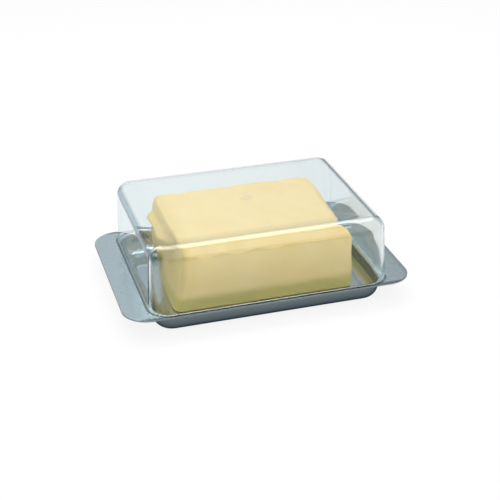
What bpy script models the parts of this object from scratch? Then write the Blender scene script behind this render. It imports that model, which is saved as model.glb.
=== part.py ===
"""Butter dish: a stamped steel tray with two end grips, a clear lift-off hood and a block of butter.

Metres, +Z up, +X along the dish. The origin is on the table, under the middle of the tray.
"""
from math import atan2, cos, pi, radians, sin, tan

import bmesh
import bpy
from mathutils import Vector

# Butter block, a standard quarter kilogram
BUTTER_LENGTH = 0.1000
BUTTER_WIDTH = 0.0725
BUTTER_HEIGHT = 0.0367
BUTTER_TOP_RADIUS = 0.0055
BUTTER_BOTTOM_RADIUS = 0.0020
BUTTER_CORNER_RADIUS = 0.0060

# Room round the butter, to the pan's walls and to the underside of the hood's top
LEFT_ROOM = 0.0138
RIGHT_ROOM = 0.0112
FRONT_ROOM = 0.0181
BACK_ROOM = 0.0060
HEAD_ROOM = 0.0088

# Tray, one sheet of steel
SHEET = 0.0008
FLANGE_HEIGHT = 0.0124
PAN_CORNER_RADIUS = 0.0105
PAN_FLOOR_RADIUS = 0.0065
PAN_DRAFT = radians(6.0)
RIM_BEND_RADIUS = 0.0012
GRIP_REACH = 0.0120
GRIP_CORNER_RADIUS = 0.0140

# Seat for the hood, pressed a little below the grips
SEAT_MARGIN = 0.0002
SEAT_CLEARANCE = 0.0006
SEAT_STEP = 0.0004
SEAT_RUN = 0.0006
SEAT_LIP = 0.0002

# Hood, clear moulded plastic
HOOD_WALL = 0.0015
HOOD_DRAFT = radians(2.7)
HOOD_CORNER_RADIUS = 0.0110
HOOD_EDGE_RADIUS = 0.0070
HOOD_RIM_RADIUS = 0.0003
GATE_DIAMETER = 0.0080
GATE_DEPTH = 0.0004
GATE_SLOPE = 0.0006
GATE_NIB_DIAMETER = 0.0020
GATE_NIB_HEIGHT = 0.0002

# Gap kept between pieces that rest on each other
REST_GAP = 0.0003

# Smoothness: segments in a quarter turn seen from above, and in the bends of a section
CORNER_STEPS = 10
LARGE_BEND_STEPS = 7
SMALL_BEND_STEPS = 3
LEAST_RADIUS = 0.0002
FILLET_SHARE = 0.95

# Sizes that follow from the ones above
PAN_HALF_X = (BUTTER_LENGTH + LEFT_ROOM + RIGHT_ROOM) / 2
PAN_HALF_Y = (BUTTER_WIDTH + FRONT_ROOM + BACK_ROOM) / 2
SEAT_HEIGHT = FLANGE_HEIGHT - SEAT_STEP
PAN_INSET = (SEAT_HEIGHT - SHEET) * tan(PAN_DRAFT)
PAN_WALL = (SEAT_HEIGHT - SHEET) / cos(PAN_DRAFT)
PAN_MITRE = tan((pi / 2 - PAN_DRAFT) / 2)
STEP_MITRE = tan(atan2(SEAT_STEP, SEAT_RUN) / 2)
BEND_REACH = RIM_BEND_RADIUS * PAN_MITRE
FLOOR_RADIUS = min(PAN_FLOOR_RADIUS, FILLET_SHARE * (PAN_WALL - BEND_REACH) / PAN_MITRE)
HOOD_REACH = BEND_REACH + SEAT_MARGIN + HOOD_WALL
STEP_REACH = HOOD_REACH + SEAT_CLEARANCE
LIP_REACH = STEP_REACH + SEAT_RUN + SHEET * STEP_MITRE + SEAT_LIP
TRAY_HALF_X = PAN_HALF_X + LIP_REACH + GRIP_REACH
TRAY_HALF_Y = PAN_HALF_Y + LIP_REACH
HOOD_HALF_X = PAN_HALF_X + HOOD_REACH
HOOD_HALF_Y = PAN_HALF_Y + HOOD_REACH
HOOD_RIM_Z = SEAT_HEIGHT + REST_GAP
BUTTER_Z = SHEET + REST_GAP
HOOD_RISE = BUTTER_Z + BUTTER_HEIGHT + HEAD_ROOM + HOOD_WALL - HOOD_RIM_Z
BUTTER_X = (LEFT_ROOM - RIGHT_ROOM) / 2
BUTTER_Y = (FRONT_ROOM - BACK_ROOM) / 2


def rounded_section(points, radii, steps):
    """Section line through the points, with each inner point rounded to its radius by an arc."""
    line = [points[0]]
    for before, corner, after, radius, count in zip(points, points[1:], points[2:], radii, steps):
        corner = Vector(corner)
        back = (Vector(before) - corner).normalized()
        ahead = (Vector(after) - corner).normalized()
        half_angle = back.angle(ahead) / 2
        centre = corner + (back + ahead).normalized() * radius / sin(half_angle)
        start = corner + back * radius / tan(half_angle) - centre
        turn = start.angle_signed(corner + ahead * radius / tan(half_angle) - centre)
        for step in range(count + 1):
            angle = -turn * step / count
            swung_x = start.x * cos(angle) - start.y * sin(angle)
            swung_y = start.x * sin(angle) + start.y * cos(angle)
            line.append((centre.x + swung_x, centre.y + swung_y))
    line.append(points[-1])
    return line


def rounded_rectangle(half_x, half_y, radius, z):
    """Rounded rectangle seen from above, as points that run anticlockwise from the front right corner."""
    radius = max(radius, LEAST_RADIUS)
    points = []
    for quarter, (side_x, side_y) in enumerate([(1, -1), (1, 1), (-1, 1), (-1, -1)]):
        centre_x = side_x * (half_x - radius)
        centre_y = side_y * (half_y - radius)
        for step in range(CORNER_STEPS + 1):
            angle = (quarter - 1 + step / CORNER_STEPS) * pi / 2
            points.append((centre_x + radius * cos(angle), centre_y + radius * sin(angle), z))
    return points


def circle(radius, z):
    """Circle with as many points as a rounded rectangle, in the same order, so that the two can be joined."""
    count = 4 * (CORNER_STEPS + 1)
    angles = [((index + 0.5) / count - 0.25) * 2 * pi for index in range(count)]
    return [(radius * cos(angle), radius * sin(angle), z) for angle in angles]


def add_ring(bm, points):
    """Vertices of one closed ring."""
    return [bm.verts.new(point) for point in points]


def join_rings(bm, rings):
    """Band of faces between each ring and the next."""
    for lower, upper in zip(rings, rings[1:]):
        for index in range(len(lower)):
            after = (index + 1) % len(lower)
            bm.faces.new((lower[index], lower[after], upper[after], upper[index]))


def finish_object(name, bm, material, location, parent):
    """Turns the faces outwards, shades the bends smooth and puts the piece in its place."""
    bmesh.ops.recalc_face_normals(bm, faces=bm.faces)
    mesh = bpy.data.meshes.new(name)
    bm.to_mesh(mesh)
    bm.free()
    mesh.shade_smooth()
    mesh.set_sharp_from_angle(angle=radians(35))
    mesh.materials.append(material)
    piece = bpy.data.objects.new(name, mesh)
    bpy.context.collection.objects.link(piece)
    piece.parent = parent
    piece.location = location
    return piece


def make_material(name, colour, metallic, roughness, transmission=0.0):
    """Principled material with one colour."""
    material = bpy.data.materials.new(name)
    material.use_nodes = True
    shader = material.node_tree.nodes["Principled BSDF"]
    shader.inputs["Base Color"].default_value = (*colour, 1.0)
    shader.inputs["Metallic"].default_value = metallic
    shader.inputs["Roughness"].default_value = roughness
    shader.inputs["Transmission Weight"].default_value = transmission
    material.diffuse_color = (*colour, 1.0)
    return material


def sheet_section(depth):
    """Half section of the pan and of the hood's seat, at a depth below the sheet's upper face.

    Each point is the reach outwards from the pan's wall at seat level, and the height. The sheet keeps its
    thickness, so the bend that is hollow from above grows by the depth and the one that is round shrinks by it.
    """
    floor = SHEET - depth
    seat = SEAT_HEIGHT - depth
    foot = depth / cos(PAN_DRAFT) - depth * tan(PAN_DRAFT) - PAN_INSET
    step = STEP_REACH + depth * STEP_MITRE
    pan_points = [(foot - PAN_HALF_Y / 2, floor), (foot, floor), (depth * PAN_MITRE, seat), (HOOD_REACH, seat)]
    pan_radii = [FLOOR_RADIUS + depth, max(RIM_BEND_RADIUS - depth, LEAST_RADIUS)]
    pan = rounded_section(pan_points, pan_radii, [LARGE_BEND_STEPS, SMALL_BEND_STEPS])[1:-1]
    seat_edge = [(step, seat), (step + SEAT_RUN, seat + SEAT_STEP), (LIP_REACH, seat + SEAT_STEP)]
    return pan, seat_edge


def add_sheet_face(bm, depth):
    """One face of the tray's sheet: floor, walls, seat and the two flat grips. Gives its outer edge loop."""
    pan, seat_edge = sheet_section(depth)
    sections = [(reach, height, PAN_CORNER_RADIUS + reach) for reach, height in pan]
    sections += [(reach, height, HOOD_CORNER_RADIUS + reach - HOOD_REACH) for reach, height in seat_edge]
    rings = []
    for reach, height, radius in sections:
        rings.append(add_ring(bm, rounded_rectangle(PAN_HALF_X + reach, PAN_HALF_Y + reach, radius, height)))
    join_rings(bm, rings)
    bm.faces.new(rings[0])
    lip = rings[-1]
    grip = add_ring(bm, rounded_rectangle(TRAY_HALF_X, TRAY_HALF_Y, GRIP_CORNER_RADIUS, FLANGE_HEIGHT - depth))
    half = len(lip) // 2
    right_lip, left_lip = lip[:half], lip[half:]
    right_grip, left_grip = grip[:half], grip[half:]
    bm.faces.new(right_grip + right_lip[::-1])
    bm.faces.new(left_grip + left_lip[::-1])
    return [right_lip[0], *right_grip, right_lip[-1], left_lip[0], *left_grip, left_lip[-1]]


def make_tray(material, parent):
    """Stamped tray: an upper and a lower face of one sheet, joined round the cut edge."""
    bm = bmesh.new()
    upper_edge = add_sheet_face(bm, 0.0)
    lower_edge = add_sheet_face(bm, SHEET)
    join_rings(bm, [lower_edge, upper_edge])
    return finish_object("tray", bm, material, (0, 0, 0), parent)


def hood_section():
    """Half section of the hood from the outside of its top, down to the rim and up to the inside of its top.

    Each point is the inset from the rim's outer edge, and the height above the rim.
    """
    slope = tan(HOOD_DRAFT)
    inner_rise = HOOD_RISE - HOOD_WALL
    wall = HOOD_WALL / cos(HOOD_DRAFT)
    far = HOOD_HALF_Y / 2
    points = [
        (far, HOOD_RISE),
        (HOOD_RISE * slope, HOOD_RISE),
        (0.0, 0.0),
        (wall, 0.0),
        (wall + inner_rise * slope, inner_rise),
        (far, inner_rise),
    ]
    inner_radius = max(HOOD_EDGE_RADIUS - HOOD_WALL, LEAST_RADIUS)
    radii = [HOOD_EDGE_RADIUS, HOOD_RIM_RADIUS, HOOD_RIM_RADIUS, inner_radius]
    steps = [LARGE_BEND_STEPS, SMALL_BEND_STEPS, SMALL_BEND_STEPS, LARGE_BEND_STEPS]
    return rounded_section(points, radii, steps)[1:-1]


def make_hood(material, parent):
    """Clear hood, with the shallow round dimple and nib that the moulding's gate leaves in its top."""
    bm = bmesh.new()
    rings = []
    for inset, height in hood_section():
        radius = HOOD_CORNER_RADIUS - inset
        outline = rounded_rectangle(HOOD_HALF_X - inset, HOOD_HALF_Y - inset, radius, height)
        rings.append(add_ring(bm, outline))
    dimple_floor = HOOD_RISE - GATE_DEPTH
    dimple = [
        (GATE_NIB_DIAMETER / 2, dimple_floor + GATE_NIB_HEIGHT),
        (GATE_NIB_DIAMETER / 2, dimple_floor),
        (GATE_DIAMETER / 2 - GATE_SLOPE, dimple_floor),
        (GATE_DIAMETER / 2, HOOD_RISE),
    ]
    gate_rings = [add_ring(bm, circle(radius, height)) for radius, height in dimple]
    join_rings(bm, gate_rings + rings)
    bm.faces.new(gate_rings[0])
    bm.faces.new(rings[-1])
    return finish_object("hood", bm, material, (0, 0, HOOD_RIM_Z), parent)


def make_butter(material, parent):
    """Block of butter, with soft edges, lying on the pan's floor."""
    bm = bmesh.new()
    deep = BUTTER_WIDTH / 4
    points = [(deep, 0.0), (0.0, 0.0), (0.0, BUTTER_HEIGHT), (deep, BUTTER_HEIGHT)]
    radii = [BUTTER_BOTTOM_RADIUS, BUTTER_TOP_RADIUS]
    section = rounded_section(points, radii, [SMALL_BEND_STEPS, LARGE_BEND_STEPS])
    rings = []
    for inset, height in section[1:-1]:
        half_x = BUTTER_LENGTH / 2 - inset
        half_y = BUTTER_WIDTH / 2 - inset
        rings.append(add_ring(bm, rounded_rectangle(half_x, half_y, BUTTER_CORNER_RADIUS - inset, height)))
    join_rings(bm, rings)
    bm.faces.new(rings[0])
    bm.faces.new(rings[-1])
    return finish_object("butter_block", bm, material, (BUTTER_X, BUTTER_Y, BUTTER_Z), parent)


def clear_scene():
    """Empties the scene before the dish is made."""
    for old in list(bpy.data.objects):
        bpy.data.objects.remove(old, do_unlink=True)


def main():
    clear_scene()
    dish = bpy.data.objects.new("butter_dish", None)
    bpy.context.collection.objects.link(dish)
    make_tray(make_material("satin_steel", (0.56, 0.60, 0.62), 1.0, 0.30), dish)
    make_hood(make_material("clear_plastic", (0.93, 0.96, 0.98), 0.0, 0.04, 1.0), dish)
    make_butter(make_material("butter", (0.85, 0.74, 0.44), 0.0, 0.45), dish)


main()
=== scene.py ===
# %% [markdown]
# # A butter dish with a clear hood
#
# The dish is three things that lift apart: a tray pressed from one sheet of steel, a clear moulded hood
# that stands on it, and the block of butter in between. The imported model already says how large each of
# them is and where it sits. This lesson gives each one its real surface and finish, and then adds a
# floor, soft light and a camera. Everything is in metres, with +X along the dish and +Z up.

import bpy
import numpy as np
from mathutils import Matrix, Vector


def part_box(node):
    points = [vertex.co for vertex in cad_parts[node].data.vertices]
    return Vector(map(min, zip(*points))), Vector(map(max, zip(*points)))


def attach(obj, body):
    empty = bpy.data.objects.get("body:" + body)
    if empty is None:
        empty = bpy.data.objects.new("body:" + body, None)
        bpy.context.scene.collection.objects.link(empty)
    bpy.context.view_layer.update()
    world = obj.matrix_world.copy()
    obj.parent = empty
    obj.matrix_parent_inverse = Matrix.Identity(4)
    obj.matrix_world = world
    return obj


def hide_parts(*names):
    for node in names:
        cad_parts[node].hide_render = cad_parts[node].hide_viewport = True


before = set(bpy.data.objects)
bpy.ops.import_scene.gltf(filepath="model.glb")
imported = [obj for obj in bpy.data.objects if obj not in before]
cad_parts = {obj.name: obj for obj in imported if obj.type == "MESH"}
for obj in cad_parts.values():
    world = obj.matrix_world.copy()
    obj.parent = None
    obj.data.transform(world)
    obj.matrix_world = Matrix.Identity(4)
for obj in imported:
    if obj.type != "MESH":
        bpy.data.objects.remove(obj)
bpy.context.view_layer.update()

# %% [markdown]
# ## The camera
#
# The photograph looks down on the dish from the front, a little from the left, through a long lens that
# keeps the edges almost parallel. A camera can be aimed by a constraint, but a matrix built from three
# directions says the same thing with nothing left to evaluate: one direction runs from the dish back to
# the camera, one to its right and one up, and a small roll turns the last two.

# %% Camera at the photograph's view
VIEW_AZIMUTH = np.radians(-16.541)
VIEW_ELEVATION = np.radians(27.419)
VIEW_ROLL = np.radians(-0.463)
VIEW_DISTANCE = 0.638
VIEW_TARGET = Vector((0.0015, -0.0010, 0.0167))
LENS_LENGTH = 82.4
SENSOR_WIDTH = 36.0


def add_object(name, data):
    """Object that carries the data, placed in the scene."""
    made = bpy.data.objects.new(name, data)
    bpy.context.scene.collection.objects.link(made)
    return made


def aim_camera(name, azimuth, elevation, roll, distance, target):
    """Camera on a sphere round the target: azimuth 0 looks along +Y, and roll turns it about its own axis."""
    flat = np.cos(elevation)
    back = Vector((flat * np.sin(azimuth), -flat * np.cos(azimuth), np.sin(elevation)))
    level = Vector((np.cos(azimuth), np.sin(azimuth), 0.0))
    rise = back.cross(level)
    right = np.cos(roll) * level + np.sin(roll) * rise
    up = np.cos(roll) * rise - np.sin(roll) * level
    camera = add_object(name, bpy.data.cameras.new(name))
    turned = Matrix((right, up, back)).transposed()
    camera.matrix_world = Matrix.Translation(target + back * distance) @ turned.to_4x4()
    return camera


camera = aim_camera("camera", VIEW_AZIMUTH, VIEW_ELEVATION, VIEW_ROLL, VIEW_DISTANCE, VIEW_TARGET)
camera.data.lens = LENS_LENGTH
camera.data.sensor_width = SENSOR_WIDTH
bpy.context.scene.camera = camera
print("camera stands at", [round(value, 3) for value in camera.matrix_world.translation])

# %% [markdown]
# ## One path for all three pieces
#
# Seen from above, the pan, the seat, the hood and the butter are all rounded rectangles. So one path is
# worked out once and every piece carries its own section round it. A point of the path doesn't hold a
# place. It holds two shares that say how far along the straight sides it is, and the angle it faces. Any
# rounded rectangle follows from these by one formula, so a whole stack of rings is a single sum of
# arrays. The points crowd together towards the corners, because that keeps the flat sides flat in smooth
# shading.

# %% The path round a rounded rectangle
CORNER_POINTS = 24
SHORT_SIDE_POINTS = 30
LONG_SIDE_POINTS = 40


def round_path():
    """Shares along X and Y and the outward angle of every path point, anticlockwise from the front right.

    Shares run from -1 to 1. In a corner they stand still while the angle turns a quarter. On a side the angle
    stands still while one share runs from corner to corner, by half a cosine wave.
    """
    corners = np.array([(1, -1), (1, 1), (-1, 1), (-1, -1)], float)
    shares, angles = [], []
    for quarter, count in enumerate((SHORT_SIDE_POINTS, LONG_SIDE_POINTS) * 2):
        here, following = corners[quarter], corners[(quarter + 1) % 4]
        turn = np.arange(CORNER_POINTS) / CORNER_POINTS
        run = (1 - np.cos(np.pi * np.arange(count) / count)) / 2
        shares += [np.tile(here, (CORNER_POINTS, 1)), here + run[:, None] * (following - here)]
        angles += [(quarter - 1 + turn) * np.pi / 2, np.full(count, quarter * np.pi / 2)]
    return np.concatenate(shares), np.concatenate(angles)


path_share, path_angle = round_path()
path_out = np.stack((np.cos(path_angle), np.sin(path_angle)), axis=-1)
PATH_POINTS = len(path_angle)


def stack_rings(half_x, half_y, corner, height):
    """Rounded rectangles stacked into a surface of rows by path points.

    Along X, a point is its share times the straight half (half size less corner radius), plus the corner
    radius times the cosine of its angle. Along Y it's the same with the sine. The height is the row's own.
    """
    rows = (half_x, half_y, corner, height)
    half_x, half_y, corner, height = (np.asarray(row, float)[:, None] for row in rows)
    x = path_share[:, 0] * (half_x - corner) + path_out[:, 0] * corner
    y = path_share[:, 1] * (half_y - corner) + path_out[:, 1] * corner
    return np.stack((x, y, np.broadcast_to(height, x.shape)), axis=-1)


print("path points:", PATH_POINTS)

# %% [markdown]
# ## Sections with rounded corners
#
# A die or a mould leaves no sharp corner, so each section is a few straight lines with an arc in every
# bend. Blender's Bevel modifier could round the finished mesh, but here the bends are what the light
# plays on, so the arcs belong to the section itself. Each arc gets one helper point on the straight on
# either side, a little way off. Without it, smooth shading would spread the bend's curve over the flat
# beside it.

# %% Section helper
SUPPORT_SHARE = 0.15


def smooth_step(value, low, high):
    """0 below low, 1 above high, and a smooth lead in between."""
    share = np.clip((value - low) / (high - low), 0.0, 1.0)
    return share * share * (3 - 2 * share)


def unit(vector):
    """The vector at length one."""
    return vector / np.linalg.norm(vector)


def rounded_section(points, radii, steps):
    """Section line through the points, with an arc of its radius at each inner point.

    Where two straights meet at twice the half angle, the arc leaves them radius / tan(half angle) from the
    corner, and its centre lies radius / sin(half angle) along the line that halves the corner. The arc is the
    turn from the first spoke to the last one, by equal angles.
    """
    points = np.asarray(points, float)
    line = [points[:1]]
    for before, corner, after, radius, count in zip(points, points[1:], points[2:], radii, steps):
        back, ahead = unit(before - corner), unit(after - corner)
        half_angle = np.arccos(back @ ahead) / 2
        reach = radius / np.tan(half_angle)
        centre = corner + unit(back + ahead) * radius / np.sin(half_angle)
        first_spoke, last_spoke = corner + back * reach - centre, corner + ahead * reach - centre
        turn = np.pi - 2 * half_angle
        share = np.linspace(0, 1, count + 1)[:, None]
        arc = (np.sin((1 - share) * turn) * first_spoke + np.sin(share * turn) * last_spoke) / np.sin(turn)
        off = reach * (1 + SUPPORT_SHARE)
        line += [[corner + back * off], centre + arc, [corner + ahead * off]]
    return np.concatenate(line + [points[-1:]])


square_corner = rounded_section([(0.0, 0.0), (1.0, 0.0), (1.0, 1.0)], [0.5], [8])
print("section points of a corner in 8 steps:", len(square_corner))

# %% [markdown]
# ## From grid to mesh
#
# A grid of points closed round its path needs no modelling tool: each cell between two rows and two path
# points is a face, and the numbering of all faces is one array. The first and last row each close on a
# single point in the middle, so the piece is one sealed skin with its faces pointing out.

# %% Mesh helper


def grid_faces(rows, columns):
    """Numbers of a grid's points, of the points beside them along the path, and of the points of each face.

    A face joins point j of a row, point j of the next row, point j + 1 of the next row and point j + 1 of the
    row. Rows run outwards from the middle of the upper side, so that this order faces out.
    """
    index = np.arange(rows * columns).reshape(rows, columns)
    beside = np.roll(index, -1, axis=1)
    quads = np.stack((index[:-1], index[1:], beside[1:], beside[:-1]), axis=-1)
    return index, beside, quads.reshape(-1, 4)


def skin_mesh(name, grid, first_pole, last_pole):
    """Mesh of a grid of rows by path points, closed round the path and by one point at either end."""
    rows, columns = grid.shape[:2]
    points = np.concatenate((grid.reshape(-1, 3), [first_pole], [last_pole]))
    index, beside, quads = grid_faces(rows, columns)
    first = np.full(columns, rows * columns)
    fans = np.concatenate((
        np.stack((first, index[0], beside[0]), axis=-1),
        np.stack((index[-1], first + 1, beside[-1]), axis=-1),
    ))
    mesh = bpy.data.meshes.new(name)
    mesh.from_pydata(points.tolist(), [], quads.tolist() + fans.tolist())
    mesh.shade_smooth()
    return mesh


def paint_grid(mesh, attribute, values):
    """Number for every row and path point, kept on the mesh's points and carried on to the poles."""
    points = np.concatenate((values.ravel(), values[0, :1], values[-1, :1]))
    layer = mesh.attributes.new(attribute, "FLOAT", "POINT")
    layer.data.foreach_set("value", points.astype(np.float32))


def place_piece(mesh, material, body, node):
    """Object for a finished mesh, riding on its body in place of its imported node."""
    piece = add_object(mesh.name, mesh)
    mesh.materials.append(material)
    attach(piece, body)
    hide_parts(node)
    low, high = np.array(piece.bound_box).min(axis=0), np.array(piece.bound_box).max(axis=0)
    print(mesh.name, len(mesh.polygons), "faces, box in mm:", (1000 * (high - low)).round(2))
    return piece


print("faces between two rows:", len(grid_faces(2, PATH_POINTS)[2]))

# %% [markdown]
# ## Node helpers
#
# Every finish below is a graph of nodes, which could be drawn by hand in the Shader Editor. A few helpers
# keep the graphs short in code: they start a material, add a node and join its inputs, read a number that
# a mesh carries, make a soft ramp, mix two colours, work out one number from two, and make a noise
# pattern that stays fixed to the piece.

# %% Material helpers
NOISE_ROUGHNESS = 0.55
EVEN = (1.0, 1.0, 1.0)


def start_material(name):
    """New material with its node tree and its Principled shader."""
    material = bpy.data.materials.new(name)
    material.use_nodes = True
    return material, material.node_tree, material.node_tree.nodes["Principled BSDF"]


def add_node(tree, kind, settings=None, **inputs):
    """Node of a kind. An input, named in words or by its place as _0, takes a value or a node's output."""
    node = tree.nodes.new(kind)
    for name, value in (settings or {}).items():
        setattr(node, name, value)
    for name, value in inputs.items():
        socket = node.inputs[int(name[1:])] if name[1:].isdigit() else node.inputs[name.replace("_", " ")]
        if isinstance(value, bpy.types.NodeSocket):
            tree.links.new(value, socket)
        else:
            socket.default_value = value
    return node


def read_attribute(tree, name):
    """Number that the mesh carries under a name."""
    return add_node(tree, "ShaderNodeAttribute", {"attribute_name": name}).outputs["Fac"]


def remap(tree, value, low, high, start, end):
    """Value from low to high, led over smoothly to start to end."""
    settings = {"interpolation_type": "SMOOTHSTEP"}
    ends = {"From_Min": low, "From_Max": high, "To_Min": start, "To_Max": end}
    return add_node(tree, "ShaderNodeMapRange", settings, Value=value, **ends).outputs["Result"]


def combine(tree, operation, first, second):
    """One number from two, by an operation of the Math node."""
    return add_node(tree, "ShaderNodeMath", {"operation": operation}, _0=first, _1=second).outputs[0]


def opaque(colour):
    """Colour with full alpha. A node's output stays as it is."""
    return colour if isinstance(colour, bpy.types.NodeSocket) else (*colour, 1.0)


def mix_colours(tree, share, first, second):
    """Colour between two others, by a share from 0 to 1."""
    colours = {"_0": share, "_6": opaque(first), "_7": opaque(second)}
    return add_node(tree, "ShaderNodeMix", {"data_type": "RGBA"}, **colours).outputs[2]


def stretched_noise(tree, stretch, scale, detail=3.0):
    """Noise on the piece's own coordinates, squeezed by a scale of its own along each axis."""
    place = add_node(tree, "ShaderNodeTexCoord").outputs["Object"]
    mapping = add_node(tree, "ShaderNodeMapping", Vector=place, Scale=stretch).outputs["Vector"]
    looks = {"Scale": scale, "Detail": detail, "Roughness": NOISE_ROUGHNESS}
    return add_node(tree, "ShaderNodeTexNoise", Vector=mapping, **looks).outputs["Fac"]


print("roughness of every noise:", NOISE_ROUGHNESS)

# %% [markdown]
# ## The tray's sheet
#
# The tray is one sheet of steel, 0.8 mm thick, pressed in a die. From the middle outwards it has a flat
# floor, a round bend, a wall that leans out by a few degrees so that the press can let go of it, a tight
# bend onto a narrow land, and a shallow step that keeps the hood in its place. Beyond the step lie the
# flat grips at both ends. A Solidify modifier could thicken a single skin, but the two faces of a pressed
# sheet bend with unlike radii. So both faces come from one function of the depth below the upper face.

# %% Sizes of the tray
tray_low, tray_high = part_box("tray")
hood_low, hood_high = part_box("hood")

SHEET = 0.0008
PAN_DRAFT = np.radians(6.0)
PAN_CORNER_RADIUS = 0.0105
PAN_FLOOR_RADIUS = 0.0065
RIM_BEND_RADIUS = 0.0012
SEAT_MARGIN = 0.0002
SEAT_CLEARANCE = 0.0006
SEAT_STEP = 0.0004
SEAT_RUN = 0.0006
STEP_FOOT_RADIUS = 0.0003
STEP_TOP_RADIUS = 0.0004
LEAST_RADIUS = 0.0001
HOOD_WALL = 0.0015
HOOD_CORNER_RADIUS = 0.0110
GRIP_CORNER_RADIUS = 0.0140
EDGE_RADIUS = 0.0001

flange_height = tray_high.z
seat_height = flange_height - SEAT_STEP
pan_mitre = np.tan((np.pi / 2 - PAN_DRAFT) / 2)
step_mitre = np.tan(np.arctan2(SEAT_STEP, SEAT_RUN) / 2)
hood_reach = RIM_BEND_RADIUS * pan_mitre + SEAT_MARGIN + HOOD_WALL
step_reach = hood_reach + SEAT_CLEARANCE
pan_half_x = hood_high.x - hood_reach
pan_half_y = hood_high.y - hood_reach
print("pan inside, mm:", round(2000 * pan_half_x, 1), "by", round(2000 * pan_half_y, 1))

# %% The two faces of the sheet
FLOOR_ROWS = 6
GRIP_ROWS = 4
LARGE_BEND_STEPS = 18
SMALL_BEND_STEPS = 8
TINY_BEND_STEPS = 4


def shrunk_rows(row, count):
    """Rows that shrink evenly from near the middle to the given row, at its height."""
    share = (np.arange(count) + 0.5) / count
    return np.column_stack((share[:, None] * row[:3], np.full(count, row[3])))


def sheet_rows(depth):
    """Half sizes, corner radius and height of the rows of one face of the sheet, from the middle to the edge.

    The section gives each row's reach beyond the pan's wall at seat level. A row's half sizes are the pan's
    plus the reach, and so is its corner radius, taken from the pan inside the land and from the hood outside
    it. At a depth below the upper face, hollow bends grow by the depth and round ones shrink by it.
    """
    floor = SHEET - depth
    seat = seat_height - depth
    wall_run = (depth + seat_height - SHEET) * np.tan(PAN_DRAFT)
    foot = depth / np.cos(PAN_DRAFT) - wall_run
    step = step_reach + depth * step_mitre
    edge_reach = tray_high.y - EDGE_RADIUS - pan_half_y
    points = [
        (foot - pan_half_y / 2, floor),
        (foot, floor),
        (depth * pan_mitre, seat),
        (step, seat),
        (step + SEAT_RUN, seat + SEAT_STEP),
        (edge_reach, seat + SEAT_STEP),
    ]
    radii = [
        PAN_FLOOR_RADIUS + depth,
        max(RIM_BEND_RADIUS - depth, LEAST_RADIUS),
        STEP_FOOT_RADIUS + depth,
        max(STEP_TOP_RADIUS - depth, LEAST_RADIUS),
    ]
    steps = [LARGE_BEND_STEPS, SMALL_BEND_STEPS, TINY_BEND_STEPS, TINY_BEND_STEPS]
    reach, height = rounded_section(points, radii, steps)[1:-1].T
    on_pan = reach < hood_reach - HOOD_WALL / 2
    corner = reach + np.where(on_pan, PAN_CORNER_RADIUS, HOOD_CORNER_RADIUS - hood_reach)
    return np.column_stack((pan_half_x + reach, pan_half_y + reach, corner, height))


def grip_rows(inner, inset, height, count):
    """Rows that lead over evenly from the pressed step to the outline of the grips, at an inset from it."""
    outline = np.array([tray_high.x - inset, tray_high.y - inset, GRIP_CORNER_RADIUS - inset, height])
    share = (np.arange(count) + 1.0)[:, None] / count
    return inner + share * (outline - inner)


def edge_rows():
    """Rows round the sheet's cut edge, whose two corners are broken by a small arc."""
    under = flange_height - SHEET
    points = [(3 * EDGE_RADIUS, flange_height), (0.0, flange_height), (0.0, under), (3 * EDGE_RADIUS, under)]
    inset, height = rounded_section(points, [EDGE_RADIUS] * 2, [TINY_BEND_STEPS] * 2)[3:-3].T
    return np.column_stack((tray_high.x - inset, tray_high.y - inset, GRIP_CORNER_RADIUS - inset, height))


upper_face, lower_face = sheet_rows(0.0), sheet_rows(SHEET)
upper_grips = grip_rows(upper_face[-1], EDGE_RADIUS, flange_height, GRIP_ROWS)
lower_grips = grip_rows(lower_face[-1], EDGE_RADIUS, flange_height - SHEET, GRIP_ROWS)
tray_rows = np.concatenate((
    shrunk_rows(upper_face[0], FLOOR_ROWS),
    upper_face,
    upper_grips,
    edge_rows(),
    lower_grips[::-1],
    lower_face[::-1],
    shrunk_rows(lower_face[0], FLOOR_ROWS)[::-1],
))
tray_grid = stack_rings(*tray_rows.T)
print("rows in the tray:", len(tray_rows))

# %% [markdown]
# ## The tray's finish
#
# The grips have a satin finish: fine lines that a belt leaves along the dish, which blur reflections into a
# soft cool grey. Inside the pan the die has polished the sheet, so the butter mirrors in it. Outside and
# underneath nobody polishes. There the steel is mixed towards a near-black colour as painted shade, more so
# towards the base, standing in for the shadowed table that the outer wall mirrors. The groove of the pressed
# step and the lip along the front and back get painted shade too, for the dark gap under the hood's rim.
# Three materials could be assigned to three groups of faces, but on the real sheet one finish runs over into
# the next. So every point of the tray carries two numbers, how polished it is and how much painted shade it
# has, and one material reads both.

# %% Satin and polished steel
SATIN_STEEL = (0.64, 0.775, 0.825)
POLISHED_STEEL = (0.62, 0.70, 0.73)
# Near-black colour for painted shade on the tray.
PAINTED_SHADE_STEEL = (0.018, 0.028, 0.036)
STEEL_EDGE = (0.30, 0.32, 0.33)
LINE_SHADE = 0.98
BELT_RANGE = (0.25, 0.75)
CLOUD_RANGE = (0.3, 0.7)
BELT_STRETCH = (1.0, 40.0, 40.0)
BELT_SCALE = 260.0
CLOUD_SCALE = 45.0
SATIN_ROUGHNESS = (0.25, 0.28)
POLISHED_ROUGHNESS = (0.03, 0.07)
LINE_DEPTH = (0.012, 0.005)
LINE_REACH = 0.0001


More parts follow.
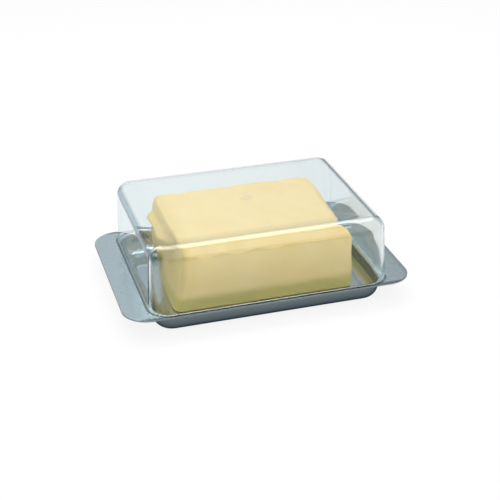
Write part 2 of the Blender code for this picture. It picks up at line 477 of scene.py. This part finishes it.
def make_steel():
    """Satin and polished steel led by the attribute polish, mixed towards a near-black colour for painted
    shade by a second attribute.
    """
    material, tree, shader = start_material("pressed_steel")
    polish = read_attribute(tree, "polish")
    painted_shade = read_attribute(tree, "painted_shade")
    belt_lines = stretched_noise(tree, BELT_STRETCH, BELT_SCALE, detail=4.0)
    cloud = stretched_noise(tree, EVEN, CLOUD_SCALE)
    line_colour = tuple(LINE_SHADE * value for value in SATIN_STEEL)
    satin = mix_colours(tree, belt_lines, line_colour, SATIN_STEEL)
    upper = mix_colours(tree, polish, satin, POLISHED_STEEL)
    # Painted shade: the second attribute mixes the steel towards the near-black colour.
    tree.links.new(mix_colours(tree, painted_shade, upper, PAINTED_SHADE_STEEL), shader.inputs["Base Color"])
    satin_roughness = remap(tree, belt_lines, *BELT_RANGE, *SATIN_ROUGHNESS)
    polished_roughness = remap(tree, cloud, *CLOUD_RANGE, *POLISHED_ROUGHNESS)
    spread = add_node(tree, "ShaderNodeMix", _0=polish, _2=satin_roughness, _3=polished_roughness)
    tree.links.new(spread.outputs[0], shader.inputs["Roughness"])
    depth = remap(tree, polish, 0.0, 1.0, *LINE_DEPTH)
    bump = add_node(tree, "ShaderNodeBump", Height=belt_lines, Strength=depth, Distance=LINE_REACH)
    tree.links.new(bump.outputs["Normal"], shader.inputs["Normal"])
    shader.inputs["Metallic"].default_value = 1.0
    shader.inputs["Specular Tint"].default_value = (*STEEL_EDGE, 1.0)
    return material


steel = make_steel()
print("nodes in the steel:", len(steel.node_tree.nodes))

# %% Make the tray
POLISH_FADE = 0.0010
# Shares of painted shade: outside from the cut edge to the base, in the step's groove and on the lip.
TRAY_EDGE_SHADE = 0.70
TRAY_BASE_SHADE = 0.97
TRAY_GROOVE_SHADE = 0.50
TRAY_LIP_SHADE = 0.55
LONG_SIDE_FACING = (0.80, 0.98)
BASE_FADE = 0.7
GROOVE_SHARE = 0.8


def tray_finish():
    """Polish and painted shade of every row and path point of the tray.

    The pan is polished up to its rim, and so is the narrow lip along the front and the back. Painted shade
    darkens the sheet from the cut edge round to the base, most of all low down, and in the groove that the
    pressed step makes and on that lip.
    """
    row_number = np.arange(len(tray_rows))[:, None]
    reach = tray_rows[:, :1] - pan_half_x
    long_side = smooth_step(np.abs(path_out[:, 1]), *LONG_SIDE_FACING)
    upper = row_number < FLOOR_ROWS + len(upper_face) + GRIP_ROWS
    in_pan = np.clip((RIM_BEND_RADIUS * pan_mitre - reach) / POLISH_FADE, 0.0, 1.0)
    polish = np.where(upper, np.maximum(in_pan, long_side), 0.0)
    base_share = np.clip(1 - tray_rows[:, 3:] / (flange_height - SHEET), 0.0, 1.0)
    # Painted shade outside, deeper towards the base.
    under = TRAY_EDGE_SHADE + (TRAY_BASE_SHADE - TRAY_EDGE_SHADE) * base_share ** BASE_FADE
    # Painted shade in the groove of the pressed step and on the lip, where the gap under the hood's rim is
    # dark.
    groove = TRAY_GROOVE_SHADE * ((reach > hood_reach) & (reach < step_reach + GROOVE_SHARE * SEAT_RUN))
    lip = TRAY_LIP_SHADE * long_side * (reach > hood_reach)
    return polish, np.where(upper, np.maximum(groove, lip), under)


tray_mesh = skin_mesh("steel_tray", tray_grid, (0.0, 0.0, SHEET), (0.0, 0.0, 0.0))
polish_grid, painted_shade_grid = tray_finish()
paint_grid(tray_mesh, "polish", polish_grid)
paint_grid(tray_mesh, "painted_shade", painted_shade_grid)
place_piece(tray_mesh, steel, "tray", "tray")

# %% [markdown]
# ## The hood
#
# The hood is moulded in clear plastic, 1.5 mm thick everywhere. Its walls lean in, so that it slips off
# the mould, its upper edges are broadly rounded, along the long sides more than at the ends, and the rim
# has just enough of a round to be safe in the hand. In the middle of the top sits the mark of the gate,
# where the plastic ran in: a shallow round dimple with a nib. What the eye sees on such a hood is light
# bent by its wall, so the wall has to be there. The section runs from the gate over the outside, round
# the rim and back along the inside.

# %% Section of the hood
HOOD_DRAFT = np.radians(2.7)
HOOD_END_RADIUS = 0.0070
HOOD_LONG_RADIUS = 0.0085
HOOD_TOP_CORNER = 0.0016
HOOD_RIM_RADIUS = 0.0003
TOP_ROWS = 6


def hood_rows(edge_radius):
    """Half sizes, corner radius and height of the hood's rows, from outside round the rim to the inside.

    The section gives each row's inset from the rim's outer edge. It is taken off the half sizes, and off the
    corner radius down to the small one that the top keeps.
    """
    rise = hood_high.z - hood_low.z
    slope = np.tan(HOOD_DRAFT)
    wall = HOOD_WALL / np.cos(HOOD_DRAFT)
    far = hood_high.y / 2
    points = [
        (far, rise),
        (rise * slope, rise),
        (0.0, 0.0),
        (wall, 0.0),
        (wall + (rise - HOOD_WALL) * slope, rise - HOOD_WALL),
        (far, rise - HOOD_WALL),
    ]
    radii = [edge_radius, HOOD_RIM_RADIUS, HOOD_RIM_RADIUS, edge_radius - HOOD_WALL]
    steps = [LARGE_BEND_STEPS, SMALL_BEND_STEPS, SMALL_BEND_STEPS, LARGE_BEND_STEPS]
    inset, height = rounded_section(points, radii, steps)[1:-1].T
    corner = np.maximum(HOOD_CORNER_RADIUS - inset, HOOD_TOP_CORNER)
    return np.column_stack((hood_high.x - inset, hood_high.y - inset, corner, hood_low.z + height))


end_wall = stack_rings(*hood_rows(HOOD_END_RADIUS).T)
long_wall = stack_rings(*hood_rows(HOOD_LONG_RADIUS).T)
# The long sides' section takes over by the square of the sine of the angle that a point faces.
wall_grid = end_wall + path_out[:, 1:] ** 2 * (long_wall - end_wall)
inner_middle = np.array((0.0, 0.0, hood_high.z - HOOD_WALL))
inner_share = ((np.arange(TOP_ROWS) + 0.5) / TOP_ROWS)[::-1, None, None]
inner_top_grid = inner_middle + inner_share * (wall_grid[-1] - inner_middle)
print("rows in the hood's walls:", len(wall_grid))

# %% The gate mark in the top
GATE_DIAMETER = 0.0080
GATE_DEPTH = 0.00012
GATE_SLOPE = 0.0014
NIB_DIAMETER = 0.0022
NIB_HEIGHT = 0.00006
GATE_ROUND = 0.0010


def gate_grid():
    """Rings of the gate mark, turned about the vertical, from the nib to the rim of its dimple.

    The rings' points are evenly spaced round the circle, and start so that they face the path's corners.
    """
    top = hood_high.z
    nib, dimple = NIB_DIAMETER / 2, GATE_DIAMETER / 2
    points = [
        (0.0, top - GATE_DEPTH + NIB_HEIGHT),
        (nib - GATE_ROUND / 2, top - GATE_DEPTH + NIB_HEIGHT),
        (nib + GATE_ROUND / 2, top - GATE_DEPTH),
        (dimple - GATE_SLOPE, top - GATE_DEPTH),
        (dimple, top),
        (dimple + GATE_SLOPE, top),
    ]
    radii = [GATE_ROUND] * 4
    radius, height = rounded_section(points, radii, [TINY_BEND_STEPS] * 4)[1:].T
    corner_share = (CORNER_POINTS + SHORT_SIDE_POINTS) / PATH_POINTS
    angle = 2 * np.pi * ((np.arange(PATH_POINTS) - CORNER_POINTS / 2) / PATH_POINTS - corner_share / 2)
    x, y = radius[:, None] * np.cos(angle), radius[:, None] * np.sin(angle)
    return np.stack((x, y, np.broadcast_to(height[:, None], x.shape)), axis=-1)


gate = gate_grid()
share = (np.arange(1, TOP_ROWS) / TOP_ROWS)[:, None, None]
outer_top_grid = gate[-1] + share * (wall_grid[0] - gate[-1])
hood_grid = np.concatenate((gate, outer_top_grid, wall_grid, inner_top_grid))
print("gate mark, mm:", 1000 * GATE_DIAMETER, "wide,", 1000 * GATE_DEPTH, "deep")

# %% [markdown]
# ## Clear plastic
#
# Clear plastic is a Principled shader with full transmission, and it bends light a little more than window
# glass. The faint blue that such hoods show comes from the colour on the shader, deeper where the wall is
# looked along. In parts of the upper bends the colour is mixed towards a dark blue-grey: painted dark lines
# that stand in for the reflection of dim surroundings, with a little of the same along the rim as painted
# shade. The rim, the corners and the gate mark are a little frosted. A path tracer finds it hard to send lamp
# light through a bent wall, so for the rays that look for lamps the hood counts as a clear film: a Mix Shader
# puts in a Transparent shader wherever the ray is a shadow ray or a diffuse one. Faint ripples from the mould
# and a slight change of gloss keep the surface from looking like a drawing.

# %% Clear plastic
PLASTIC_TINT = (0.895, 0.945, 0.955)
GRAZING_TINT = (0.58, 0.70, 0.78)
# Dark blue-grey for painted reflection in the upper bends and painted shade along the rim.
PAINTED_REFLECTION_AND_SHADE = (0.23, 0.34, 0.43)
PLASTIC_SHINE = (0.6, 0.6, 0.6)
PLASTIC_IOR = 1.53
GRAZING_RANGE = (0.55, 1.0)
FLOW_SCALE = 30.0
HANDLING_SCALE = 220.0
HANDLING_RANGE = (0.45, 0.75)
GLOSS_ROUGHNESS = (0.005, 0.03)
RIPPLE_STRENGTH = 0.05
RIPPLE_REACH = 0.0005
FILM_TINT = (0.95, 0.965, 0.97)


def make_clear_plastic():
    """Clear moulded plastic that lamps shine through, with painted dark lines and frost led by attributes."""
    material, tree, shader = start_material("clear_plastic")
    facing = add_node(tree, "ShaderNodeLayerWeight", Blend=0.5).outputs["Facing"]
    looked_along = remap(tree, facing, *GRAZING_RANGE, 0.0, 1.0)
    body_tint = mix_colours(tree, looked_along, PLASTIC_TINT, GRAZING_TINT)
    bend = read_attribute(tree, "bend")
    # Painted reflection and shade: the attribute bend mixes in the dark blue-grey.
    tree.links.new(mix_colours(tree, bend, body_tint, PAINTED_REFLECTION_AND_SHADE), shader.inputs["Base Color"])
    shader.inputs["Transmission Weight"].default_value = 1.0
    shader.inputs["IOR"].default_value = PLASTIC_IOR
    shader.inputs["Specular Tint"].default_value = (*PLASTIC_SHINE, 1.0)
    flow = stretched_noise(tree, EVEN, FLOW_SCALE, detail=1.0)
    handling = stretched_noise(tree, EVEN, HANDLING_SCALE, detail=4.0)
    gloss = remap(tree, handling, *HANDLING_RANGE, *GLOSS_ROUGHNESS)
    frost = read_attribute(tree, "frost")
    tree.links.new(combine(tree, "MAXIMUM", gloss, frost), shader.inputs["Roughness"])
    ripple = add_node(tree, "ShaderNodeBump", Height=flow, Strength=RIPPLE_STRENGTH, Distance=RIPPLE_REACH)
    tree.links.new(ripple.outputs["Normal"], shader.inputs["Normal"])
    film = add_node(tree, "ShaderNodeBsdfTransparent", Color=opaque(FILM_TINT)).outputs[0]
    rays = add_node(tree, "ShaderNodeLightPath").outputs
    looking = combine(tree, "MAXIMUM", rays["Is Shadow Ray"], rays["Is Diffuse Ray"])
    choice = add_node(tree, "ShaderNodeMixShader", _0=looking, _1=shader.outputs[0], _2=film)
    tree.links.new(choice.outputs[0], tree.nodes["Material Output"].inputs["Surface"])
    return material


clear_plastic = make_clear_plastic()
print("nodes in the clear plastic:", len(clear_plastic.node_tree.nodes))

# %% Make the hood
TOP_TURN = -0.2
SUPPORT_TURN = -0.1
WALL_TURN = 1.2
# Bands and depths of the painted dark lines in the upper bends, standing in for the reflection of dim
# surroundings.
LEFT_BAND = ((0.42, 0.62, 0.95, 1.1), (0.0, 1.0, 1.0, 0.0))
RIGHT_BAND = ((0.15, 0.45, 0.8, 1.0), (0.0, 1.0, 1.0, 0.0))
FRONT_BAND = ((-0.2, -0.1, 0.08, 0.20), (0.0, 0.6, 1.0, 0.0))
LEFT_LINE = 1.0
FRONT_LINE = 0.60
RIGHT_LINE = 0.40
LEFT_LINE_FACING = (0.4, 0.9)
RIGHT_LINE_FACING = (0.6, 1.0)
FRONT_LINE_FACING = (0.4, 0.9)
CORNER_FACING = (0.0, 0.3)
END_FACING = (0.7, 1.0)
RIM_PAINTED_SHADE = 0.25
RIM_FROST = 0.22
SIDE_FROST = 0.45
GATE_FROST = 0.15
CORNER_FROST = 0.13


def hood_finish():
    """Painted dark lines in the hood's upper bends and painted shade on its rim, and frost on its rim,
    corners and gate, by row and path point.

    The turn of a row is its share of the way round the outer bend, below 0 on the top and above 1 on the
    wall. Each side has a band of its own: low on the left bend, in the middle of the right one, and a narrow
    one where the front bend starts. A side's band fades out with the direction that a point faces.
    """
    turn = np.full(len(hood_grid), TOP_TURN)
    first = len(gate) + len(outer_top_grid) + 1
    last = first + LARGE_BEND_STEPS + 1
    turn[first - 1] = SUPPORT_TURN
    turn[first:last] = np.linspace(0, 1, LARGE_BEND_STEPS + 1)
    turn[last:] = WALL_TURN
    lines = (
        (LEFT_LINE, LEFT_BAND, smooth_step(-path_out[:, 0], *LEFT_LINE_FACING)),
        (RIGHT_LINE, RIGHT_BAND, smooth_step(path_out[:, 0], *RIGHT_LINE_FACING)),
        (FRONT_LINE, FRONT_BAND, smooth_step(-path_out[:, 1], *FRONT_LINE_FACING)),
    )
    # Painted dark lines: each side's band, faded by the direction that a point faces.
    bend = sum(depth * np.interp(turn, *band)[:, None] * facing for depth, band, facing in lines)
    rim = hood_grid[..., 2] < hood_low.z + HOOD_RIM_RADIUS
    corner = smooth_step(np.abs(path_out).min(axis=1), *CORNER_FACING) * (turn > 0.5)[:, None]
    side = smooth_step(np.abs(path_out[:, 0]), *END_FACING)
    frost = np.where(rim, RIM_FROST + side * (SIDE_FROST - RIM_FROST), CORNER_FROST * corner)
    frost[:len(gate) - 2] = GATE_FROST
    # Painted shade along the rim, away from the ends.
    return np.maximum(bend, RIM_PAINTED_SHADE * rim * (1 - side)), frost


nib_top = (0.0, 0.0, hood_high.z - GATE_DEPTH + NIB_HEIGHT)
hood_mesh = skin_mesh("clear_hood", hood_grid, nib_top, inner_middle)
bend_grid, frost_grid = hood_finish()
paint_grid(hood_mesh, "bend", bend_grid)
paint_grid(hood_mesh, "frost", frost_grid)
hood = place_piece(hood_mesh, clear_plastic, "hood", "hood")

# %% [markdown]
# ## The butter
#
# A quarter of a kilogram of butter, unwrapped and set on the tray. It is a soft block: the edge along the
# front is pressed down to a slanting facet with a wavy lower border, the left end has a ledge over a face
# that is drawn in, the right shoulder is pressed down towards the front, and the other edges and the
# corners are just round. Sculpting would do, but a formula keeps it the same each time. Each side has an
# edge profile of its own, and a weight that depends on the direction a point faces leads from one profile
# to the next round the corners.

# %% Edge profiles of the butter
butter_low, butter_high = (np.array(corner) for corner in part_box("butter_block"))
butter_half = (butter_high - butter_low) / 2
butter_middle = (butter_high + butter_low) / 2
BUTTER_CORNER_RADIUS = 0.0030
EDGE_ROWS = 40
EDGE_INSET = 0.0085
EDGE_DROP = 0.0120


def edge_profile(points, radii, end=0.0):
    """Inset and drop of evenly spaced points along a rounded section from the top face to the side."""
    points = [(EDGE_INSET, 0.0), *points, (end, EDGE_DROP)]
    line = rounded_section(points, radii, [SMALL_BEND_STEPS] * len(radii))
    length = np.concatenate(([0.0], np.cumsum(np.linalg.norm(np.diff(line, axis=0), axis=1))))
    spots = np.linspace(0.0, length[-1], EDGE_ROWS)
    return np.column_stack((np.interp(spots, length, line[:, 0]), np.interp(spots, length, line[:, 1])))


plain_edge = edge_profile([(0.0, 0.0)], [0.0050])
front_edge = edge_profile([(0.0056, 0.0), (0.0003, 0.0060)], [0.0012, 0.0014])
ledge_points = [(0.0046, 0.0), (0.0026, 0.0050), (-0.0018, 0.0078), (0.0050, 0.0108)]
ledge_edge = edge_profile(ledge_points, [0.0010, 0.0014, 0.0009, 0.0016], 0.0066)
worn_edge = edge_profile([(0.0046, 0.0)], [0.0016], 0.0052)
right_edge = edge_profile([(0.0034, 0.0), (0.0, 0.0044)], [0.0020, 0.0024])
pressed_edge = edge_profile([(0.0066, 0.0), (0.0002, 0.0074)], [0.0016, 0.0024])
print("points in an edge profile:", len(plain_edge))

# %% Shape of the butter
SIDE_ROWS = 24
BASE_ROWS = 8
BASE_RADIUS = 0.0008
FACET_WAVE = 0.0235
FACET_SWING = 0.20
FACET_DROP = 0.006
WAVE_FADE = (-0.010, 0.040)
FRONT_FACING = (0.75, 0.99)
LEFT_FACING = (0.10, 0.95)
RIGHT_FACING = (0.20, 0.95)
LEDGE_START = (-0.026, -0.006)
LEDGE_END = (0.029, 0.041)
SHOULDER_RUN = (-0.034, 0.036)
CUT_START = (0.004, 0.026)
CAP_ROWS = 14
ROUND_FADE = 0.8
BACK_LEFT_INSET = 0.0080
FRONT_LEFT_ROUND = 0.0090
BACK_LEFT_ROUND = 0.0060
BACK_RIGHT_ROUND = 0.0050
LUMP_HEIGHT = 0.00022
LUMP_START = 0.008


def edge_weights():
    """Share of each of the six edge profiles at every path point. The shares add up to one.

    A side's share grows with how squarely a point faces it. Along Y, the left one is split between the ledge
    and the worn edge, and the right one between the pressed shoulder and the plain right edge.
    """
    along_y = path_share[:, 1] * butter_half[1]
    front = smooth_step(-path_out[:, 1], *FRONT_FACING)
    left = smooth_step(-path_out[:, 0], *LEFT_FACING)
    right = smooth_step(path_out[:, 0], *RIGHT_FACING)
    ledge = left * smooth_step(along_y, *LEDGE_START) * (1 - smooth_step(along_y, *LEDGE_END))
    pressed = right * (1 - smooth_step(along_y, *SHOULDER_RUN))
    return np.stack((1.0 - front - left - right, front, ledge, left - ledge, right - pressed, pressed))


def butter_rows():
    """Inset and drop of the butter's side for every row and path point.

    The upper edge mixes the six profiles by their shares, and the front facet's drop swings along the block
    in a wave that dies away to the right. Below it, the side leads over to the inset of the foot, which is
    cut back at the left end towards the back, and ends in a small round at the base.
    """
    weights = edge_weights()
    front, left = weights[1], weights[2] + weights[3]
    along_x, along_y = (path_share * butter_half[:2]).T
    profiles = np.stack((plain_edge, front_edge, ledge_edge, worn_edge, right_edge, pressed_edge))
    edge = np.einsum("sp,src->rpc", weights, profiles)
    swing = np.sin(2 * np.pi * along_x / FACET_WAVE) * (1 - smooth_step(along_x, *WAVE_FADE))
    fade = 1 - smooth_step(edge[..., 1], FACET_DROP, EDGE_DROP)
    edge[..., 1] *= 1 + FACET_SWING * front * swing * fade
    height = 2 * butter_half[2]
    foot = BACK_LEFT_INSET * left * smooth_step(along_y, *CUT_START)
    side_drop = np.linspace(EDGE_DROP, height - BASE_RADIUS, SIDE_ROWS)[1:, None]
    side_inset = edge[-1, :, 0] + (side_drop - EDGE_DROP) / (height - EDGE_DROP) * (foot - edge[-1, :, 0])
    turn = np.linspace(0, np.pi / 2, BASE_ROWS)[1:, None]
    base_inset = foot + BASE_RADIUS * (1 - np.cos(turn))
    base_drop = height - BASE_RADIUS * (1 - np.sin(turn))
    side = np.stack(np.broadcast_arrays(side_inset, side_drop), axis=-1)
    base = np.stack(np.broadcast_arrays(base_inset, base_drop), axis=-1)
    return np.concatenate((edge, side, base))


def butter_skin():
    """The butter's sides as points, then its top and its base shrunk towards their middle.

    A corner's radius is the block's own plus its rounding, which fades towards the base, less the inset. The
    straight half sizes are the block's less that radius and the inset.
    """
    inset, drop = np.moveaxis(butter_rows(), -1, 0)
    left, front = (1 - path_share.T) / 2
    back_round = left * BACK_LEFT_ROUND + (1 - left) * BACK_RIGHT_ROUND
    rounding = left * front * FRONT_LEFT_ROUND + (1 - front) * back_round
    rounding = rounding * (1 - ROUND_FADE * drop / drop.max())
    corner = np.maximum(BUTTER_CORNER_RADIUS + rounding - inset, LEAST_RADIUS)
    core = butter_half[:2] - (corner + inset)[..., None]
    flat = path_share * core + path_out * corner[..., None] + butter_middle[:2]
    sides = np.concatenate((flat, (butter_high[2] - drop)[..., None]), axis=-1)
    share = ((np.arange(CAP_ROWS) + 0.5) / (CAP_ROWS + 0.5))[:, None, None]
    top = np.append(butter_middle[:2], butter_high[2])
    base = np.append(butter_middle[:2], butter_low[2])
    return np.concatenate((top + share * (sides[0] - top), sides, base + share[::-1] * (sides[-1] - base)))


def butter_lumps(points):
    """Push along the block's axes for soft lumps: a sum of slow waves, none of them in step with another."""
    x, y, z = np.moveaxis(points - butter_middle, -1, 0) * 1000
    swell = np.sin(x / 9.1 + 0.4) * np.cos(y / 7.3 + 1.1) + np.sin(x / 4.7 - z / 5.9 + 2.0)
    swell = swell + 0.6 * np.cos(y / 3.9 + z / 6.3) + 0.4 * np.sin(x / 2.3 + y / 3.1 + z / 2.7)
    outward = (points - butter_middle) / butter_half
    clear_of_base = smooth_step(points[..., 2], butter_low[2], butter_low[2] + LUMP_START)
    return LUMP_HEIGHT * (swell * clear_of_base)[..., None] * outward ** 5


butter_grid = butter_skin()
butter_grid = butter_grid + butter_lumps(butter_grid)
print("rows in the butter:", len(butter_grid))

# %% [markdown]
# ## The butter's finish
#
# Butter is fat with fine drops of water in it. Light goes in, scatters and comes out a little further on,
# which softens every edge and turns the shaded parts a warm yellow. That is subsurface scattering, and the
# Principled shader does it with a radius of a few millimetres. The colour drifts between cream and a stronger
# yellow where the surface has dried. Along the base and at the left end it is mixed towards a dark olive,
# which is painted shade where the tray's wall and the dim left side keep light away. Fine smears give the
# sheen something to break on.

# %% Butter colour and sheen
BUTTER_CREAM = (0.93, 0.70, 0.32)
BUTTER_YELLOW = (0.90, 0.635, 0.235)
# Dark olive for painted shade along the base and at the left end.
BUTTER_PAINTED_SHADE = (0.60, 0.47, 0.065)
BUTTER_SCATTER = (1.0, 0.75, 0.35)
SHADE_HEIGHT = 0.013
SHADE_END = 0.016
SHADE_LOW = 0.4
BUTTER_BASE_SHADE = 0.8
BUTTER_END_SHADE = 0.34
DRIFT_SCALE = 38.0
DRIFT_RANGE = (0.35, 0.75)
DRIFT_SHARE = 0.55
SMEAR_STRETCH = (1.0, 3.0, 5.0)
SMEAR_SCALE = 160.0
SMEAR_RANGE = (0.3, 0.7)
SHEEN_ROUGHNESS = (0.38, 0.55)
SMEAR_STRENGTH = 0.12
SMEAR_REACH = 0.0004
SCATTER_SHARE = 0.25
SCATTER_SCALE = 0.003
BUTTER_IOR = 1.46


def make_butter():
    """Butter with scattering, colour drift, painted shade along the base and at the left end, and a greasy
    sheen.
    """
    material, tree, shader = start_material("butter")
    drift = stretched_noise(tree, EVEN, DRIFT_SCALE)
    smear = stretched_noise(tree, SMEAR_STRETCH, SMEAR_SCALE, detail=4.0)
    drift_share = remap(tree, drift, *DRIFT_RANGE, 0.0, DRIFT_SHARE)
    colour = mix_colours(tree, drift_share, BUTTER_CREAM, BUTTER_YELLOW)
    place = add_node(tree, "ShaderNodeTexCoord").outputs["Object"]
    parts = add_node(tree, "ShaderNodeSeparateXYZ", Vector=place).outputs
    # Painted shade: low down and at the left end the colour is mixed towards the dark olive.
    base = remap(tree, parts["Z"], SHADE_LOW * SHADE_HEIGHT, SHADE_HEIGHT, BUTTER_BASE_SHADE, 0.0)
    left_end = remap(tree, parts["X"], butter_low[0], butter_low[0] + SHADE_END, BUTTER_END_SHADE, 0.0)
    butter_shade = combine(tree, "MAXIMUM", base, left_end)
    tree.links.new(mix_colours(tree, butter_shade, colour, BUTTER_PAINTED_SHADE), shader.inputs["Base Color"])
    tree.links.new(remap(tree, smear, *SMEAR_RANGE, *SHEEN_ROUGHNESS), shader.inputs["Roughness"])
    bump = add_node(tree, "ShaderNodeBump", Height=smear, Strength=SMEAR_STRENGTH, Distance=SMEAR_REACH)
    tree.links.new(bump.outputs["Normal"], shader.inputs["Normal"])
    shader.inputs["Subsurface Weight"].default_value = SCATTER_SHARE
    shader.inputs["Subsurface Radius"].default_value = BUTTER_SCATTER
    shader.inputs["Subsurface Scale"].default_value = SCATTER_SCALE
    shader.inputs["IOR"].default_value = BUTTER_IOR
    return material


butter_finish = make_butter()
print("nodes in the butter:", len(butter_finish.node_tree.nodes))

# %% Make the butter
butter_mesh = skin_mesh(
    "butter", butter_grid,
    (butter_middle[0], butter_middle[1], butter_grid[0, :, 2].mean()),
    (butter_middle[0], butter_middle[1], butter_low[2]),
)
place_piece(butter_mesh, butter_finish, "butter", "butter_block")

# %% [markdown]
# ## The table
#
# The photograph has a white floor without an end. A backdrop sheet with a bend would do, but a round
# table top that is wide enough fills every view and bends nothing in the steel. It is partly lit by the
# lamps and partly white by itself for the rays that show it, also in steel and plastic, so the background
# stays white and a soft shadow stays.

# %% White table
TABLE_RADIUS = 4.0
TABLE_RINGS = 24
TABLE_WHITE = 0.92
TABLE_GLOW = 0.87


def make_table():
    """Round table top: rings at the square of even steps, so that they crowd together under the dish."""
    ring = TABLE_RADIUS * (np.arange(1, TABLE_RINGS + 1) / TABLE_RINGS)[:, None] ** 2
    angle = np.linspace(0, 2 * np.pi, PATH_POINTS, endpoint=False)
    level = np.zeros((TABLE_RINGS, PATH_POINTS))
    grid = np.stack((ring * np.cos(angle), ring * np.sin(angle), level), axis=-1)
    index, _, quads = grid_faces(TABLE_RINGS, PATH_POINTS)
    mesh = bpy.data.meshes.new("table")
    mesh.from_pydata(grid.reshape(-1, 3).tolist(), [], quads.tolist() + [index[0].tolist()])
    return add_object("table", mesh)


def make_table_white():
    """White that is partly lit, and partly white by itself where a camera, a mirror or glass shows it."""
    material, tree, shader = start_material("table_white")
    tree.nodes.remove(shader)
    rays = add_node(tree, "ShaderNodeLightPath").outputs
    shown = rays["Is Camera Ray"]
    for kind in ("Is Glossy Ray", "Is Transmission Ray"):
        shown = combine(tree, "MAXIMUM", shown, rays[kind])
    glow_share = combine(tree, "MULTIPLY", shown, TABLE_GLOW)
    lit = add_node(tree, "ShaderNodeBsdfDiffuse", Color=opaque([TABLE_WHITE] * 3)).outputs[0]
    glow = add_node(tree, "ShaderNodeEmission", Color=opaque(EVEN), Strength=1.0).outputs[0]
    both = add_node(tree, "ShaderNodeMixShader", _0=glow_share, _1=lit, _2=glow).outputs[0]
    tree.links.new(both, tree.nodes["Material Output"].inputs["Surface"])
    return material


table = make_table()
table.data.materials.append(make_table_white())
print("table:", len(table.data.polygons), "faces")

# %% [markdown]
# ## The lamps
#
# Light as in a small studio. Sun lamps would draw hard shadows, so all lamps are soft rectangles: one
# above and behind the dish, one above and in front, and a low strip in front on the left that is kept out
# of reflections. The white line along the front edge of the hood mirrors a fourth one, a strip behind. It
# is linked to the hood alone, so that the satin grips stay grey.

# %% Lamps
KEY_PLACE = Vector((0.0, 0.32, 0.79))
KEY_SIZE = (1.00, 0.45)
KEY_POWER = 4.8
TOP_PLACE = Vector((-0.03, -0.46, 0.79))
TOP_SIZE = (1.20, 0.90)
TOP_POWER = 4.1
FILL_PLACE = Vector((-0.35, -0.95, 0.17))
FILL_SIZE = (0.80, 0.12)
FILL_POWER = 2.0
STRIP_PLACE = Vector((0.0, 0.57, 0.64))
STRIP_SIZE = (1.00, 0.15)
STRIP_POWER = 1.6


def hang_lamp(name, place, size, power):
    """Soft rectangular lamp that faces the dish."""
    light = bpy.data.lights.new(name, "AREA")
    light.shape = "RECTANGLE"
    light.size, light.size_y = size
    light.energy = power
    lamp = add_object(name, light)
    lamp.location = place
    lamp.rotation_euler = (VIEW_TARGET - place).to_track_quat("-Z", "Y").to_euler()
    return lamp


hang_lamp("key", KEY_PLACE, KEY_SIZE, KEY_POWER)
hang_lamp("top", TOP_PLACE, TOP_SIZE, TOP_POWER)
fill = hang_lamp("fill", FILL_PLACE, FILL_SIZE, FILL_POWER)
fill.visible_glossy = False
strip = hang_lamp("strip", STRIP_PLACE, STRIP_SIZE, STRIP_POWER)
hood_alone = bpy.data.collections.new("hood_alone")
hood_alone.objects.link(hood)
strip.light_linking.receiver_collection = hood_alone
print("lamps:", KEY_POWER + TOP_POWER, "W above and", FILL_POWER, "W in front")
print("strip for the hood:", STRIP_POWER, "W")

# %% [markdown]
# ## The dome
#
# Steel and plastic are seen by what they mirror. The world could hold a picture of a studio, but a few
# soft ramps over the direction are enough: a dim horizon, which draws the grey lines in the hood's edges,
# a brighter top, a lit backdrop low behind the dish, and a card on the right. To the camera itself the
# world is white.

# %% Dome
HORIZON_LIGHT = 0.20
ZENITH_LIGHT = 0.35
DOME_TOP = 0.9
BACKDROP_LIGHT = 0.56
BACKDROP_EDGE = (0.41, 0.62)
BACKDROP_SIDE = (0.20, 0.64)
CARD_LIGHT = 0.40
CARD_EDGE = (0.45, 0.75)
BEHIND_EDGE = (0.1, 0.4)


def make_dome():
    """World lit by the direction: by its height, and by how far behind and how far to the right it points."""
    world = bpy.data.worlds.new("studio")
    world.use_nodes = True
    tree = world.node_tree
    direction = add_node(tree, "ShaderNodeTexCoord").outputs["Generated"]
    parts = add_node(tree, "ShaderNodeSeparateXYZ", Vector=direction).outputs
    dome = remap(tree, parts["Z"], 0.0, DOME_TOP, HORIZON_LIGHT, ZENITH_LIGHT)
    aside = combine(tree, "DIVIDE", parts["X"], parts["Y"])
    behind = remap(tree, parts["Y"], *BEHIND_EDGE, 0.0, BACKDROP_LIGHT)
    low = remap(tree, parts["Z"], *BACKDROP_EDGE, 1.0, 0.0)
    left = remap(tree, aside, *BACKDROP_SIDE, 1.0, 0.0)
    backdrop = combine(tree, "MULTIPLY", combine(tree, "MULTIPLY", behind, low), left)
    card = remap(tree, parts["X"], *CARD_EDGE, 0.0, CARD_LIGHT)
    level = combine(tree, "ADD", combine(tree, "ADD", dome, card), backdrop)
    shown = add_node(tree, "ShaderNodeLightPath").outputs["Is Camera Ray"]
    background = tree.nodes["Background"].inputs
    tree.links.new(combine(tree, "MAXIMUM", level, shown), background["Strength"])
    background["Color"].default_value = opaque(EVEN)
    return world


bpy.context.scene.world = make_dome()
bpy.context.scene.view_settings.view_transform = "Standard"
print("dome from", HORIZON_LIGHT, "at the horizon to", ZENITH_LIGHT, "at the top")
